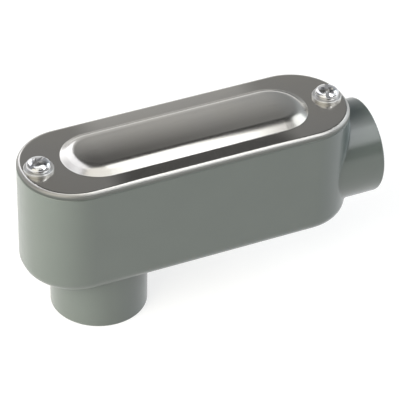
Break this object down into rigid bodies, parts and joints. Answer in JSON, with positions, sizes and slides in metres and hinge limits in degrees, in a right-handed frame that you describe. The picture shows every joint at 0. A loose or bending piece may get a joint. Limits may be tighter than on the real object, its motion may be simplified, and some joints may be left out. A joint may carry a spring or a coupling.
{
  "type": "conduit body",
  "caption": "Elbow-form conduit body: long cast housing with a threaded hub on its back and another on its end, under a gasketed pressed cover held by screws.",
  "frame": {"origin": "centre of the back hub's mouth", "axes": "+Z along the back hub's axis from its mouth up to the cover; +X along the housing from its closed end to the end hub; +Y across its width"},
  "size_m": [0.1247, 0.038, 0.0624],
  "materials": {
    "painted_casting": "die-cast, smooth semi-gloss grey coat",
    "cover_sheet": "pressed sheet, glossy warm grey",
    "gasket_rubber": "matte black sheet rubber",
    "zinc_plate": "bright zinc-plated steel"
  },
  "bodies": {
    "conduit_body": {"housing": "painted_casting", "gasket": "gasket_rubber", "cover": "cover_sheet"},
    "closed_end_washer": {"washer_closed_end": "zinc_plate"},
    "closed_end_screw": {"screw_closed_end": "zinc_plate"},
    "hub_end_washer": {"washer_hub_end": "zinc_plate"},
    "hub_end_screw": {"screw_hub_end": "zinc_plate"}
  },
  "joints": [
    {"name": "closed_end_screw_lift", "type": "slide", "parent": "conduit_body", "child": "closed_end_washer", "axis": [0, 0, 1], "range_m": [0, 0.00635]},
    {"name": "closed_end_screw_turn", "type": "hinge", "parent": "closed_end_washer", "child": "closed_end_screw", "pos_m": [-0.0204, 0, 0.0599], "axis": [0, 0, 1], "range_deg": [0, 2880]},
    {"name": "hub_end_screw_lift", "type": "slide", "parent": "conduit_body", "child": "hub_end_washer", "axis": [0, 0, 1], "range_m": [0, 0.00635]},
    {"name": "hub_end_screw_turn", "type": "hinge", "parent": "hub_end_washer", "child": "hub_end_screw", "pos_m": [0.083, 0, 0.0599], "axis": [0, 0, 1], "range_deg": [0, 2880]}
  ],
  "couplings": [
    {"joint": "closed_end_screw_turn", "follows": "closed_end_screw_lift", "rad_per_m": 7915.8},
    {"joint": "hub_end_screw_turn", "follows": "hub_end_screw_lift", "rad_per_m": 7915.8}
  ]
}
